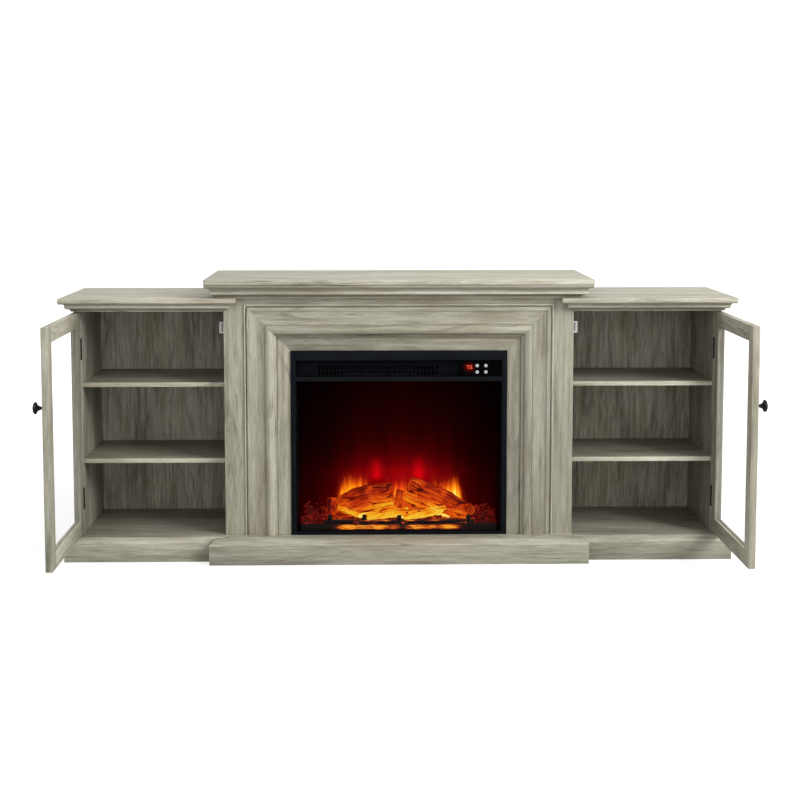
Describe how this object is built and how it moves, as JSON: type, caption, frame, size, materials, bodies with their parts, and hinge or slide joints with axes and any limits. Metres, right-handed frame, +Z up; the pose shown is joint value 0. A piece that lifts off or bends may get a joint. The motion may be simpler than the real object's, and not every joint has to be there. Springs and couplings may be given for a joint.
{
  "type": "fireplace tv stand",
  "caption": "Media console with a raised central mantel and moulded surround round an electric fire, flanked by shelved cabinets with glazed doors.",
  "frame": {"origin": "on the floor, at the middle of the width and of the cabinet's depth", "axes": "+X to the right as one faces it, -Y forward out of the front, +Z up"},
  "size_m": [1.778, 0.676, 0.748],
  "materials": {
    "wood": "weathered grey-beige laminate",
    "black_metal": "satin black",
    "clear_glass": "clear",
    "gloss_black": "gloss",
    "white_plastic": "satin",
    "aluminium": "mill",
    "flame_screen": "translucent",
    "glowing_logs": "moulded",
    "black_plastic": "matte"
  },
  "bodies": {
    "cabinet": {"centre_plinth": "wood", "control_panel": "gloss_black", "cord_gland": "black_plastic", "firebox_bezel": "black_metal", "firebox_casing": "black_metal", "flame_screen": "flame_screen", "frieze_board": "wood", "hearth_panel": "wood", "hearth_support": "wood", "heater_element": "aluminium", "left_cabinet_back": "wood", "left_cabinet_bottom": "wood", "left_divider": "wood", "left_lower_hinge_cabinet_leaf": "black_metal", "left_lower_shelf": "wood", "left_magnetic_catch": "white_plastic", "left_outer_panel": "wood", "left_pilaster": "wood", "left_side_cornice": "wood", "left_side_plinth": "wood", "left_side_top": "wood", "left_upper_hinge_cabinet_leaf": "black_metal", "left_upper_shelf": "wood", "log_set": "glowing_logs", "mantel_crown": "wood", "mantel_top": "wood", "outlet_grille": "black_metal", "right_cabinet_back": "wood", "right_cabinet_bottom": "wood", "right_divider": "wood", "right_lower_hinge_cabinet_leaf": "black_metal", "right_lower_shelf": "wood", "right_magnetic_catch": "white_plastic", "right_outer_panel": "wood", "right_pilaster": "wood", "right_side_cornice": "wood", "right_side_plinth": "wood", "right_side_top": "wood", "right_upper_hinge_cabinet_leaf": "black_metal", "right_upper_shelf": "wood", "surround_left": "wood", "surround_right": "wood", "surround_top": "wood", "window_glass": "clear_glass"},
    "left_door": {"left_door_frame": "wood", "left_door_glass": "clear_glass", "left_door_knob": "black_metal", "left_lower_hinge_door_leaf": "black_metal", "left_upper_hinge_door_leaf": "black_metal"},
    "right_door": {"right_door_frame": "wood", "right_door_glass": "clear_glass", "right_door_knob": "black_metal", "right_lower_hinge_door_leaf": "black_metal", "right_upper_hinge_door_leaf": "black_metal"},
    "push_button_1_cap": {"push_button_1": "white_plastic"},
    "push_button_2_cap": {"push_button_2": "white_plastic"},
    "push_button_3_cap": {"push_button_3": "white_plastic"},
    "push_button_4_cap": {"push_button_4": "white_plastic"},
    "blower": {"blower_wheel": "aluminium"},
    "spindle": {"flicker_spindle": "aluminium"}
  },
  "joints": [
    {"name": "left_door_hinge", "type": "hinge", "parent": "cabinet", "child": "left_door", "pos_m": [-0.8385, -0.1065, 0.363], "axis": [0, 0, 1], "range_deg": [-3, 90]},
    {"name": "right_door_hinge", "type": "hinge", "parent": "cabinet", "child": "right_door", "pos_m": [0.8385, -0.1065, 0.363], "axis": [0, 0, -1], "range_deg": [-3, 90]},
    {"name": "push_button_1_press", "type": "slide", "parent": "cabinet", "child": "push_button_1_cap", "axis": [0, 1, 0], "range_m": [0, 0.001], "stiffness_N_per_m": 300},
    {"name": "push_button_2_press", "type": "slide", "parent": "cabinet", "child": "push_button_2_cap", "axis": [0, 1, 0], "range_m": [0, 0.001], "stiffness_N_per_m": 300},
    {"name": "push_button_3_press", "type": "slide", "parent": "cabinet", "child": "push_button_3_cap", "axis": [0, 1, 0], "range_m": [0, 0.001], "stiffness_N_per_m": 300},
    {"name": "push_button_4_press", "type": "slide", "parent": "cabinet", "child": "push_button_4_cap", "axis": [0, 1, 0], "range_m": [0, 0.001], "stiffness_N_per_m": 300},
    {"name": "blower_spin", "type": "hinge", "parent": "cabinet", "child": "blower", "pos_m": [-0.055, -0.076, 0.5135], "axis": [1, 0, 0], "continuous": true},
    {"name": "spindle_spin", "type": "hinge", "parent": "cabinet", "child": "spindle", "pos_m": [0, 0.018, 0.105], "axis": [1, 0, 0], "continuous": true}
  ]
}
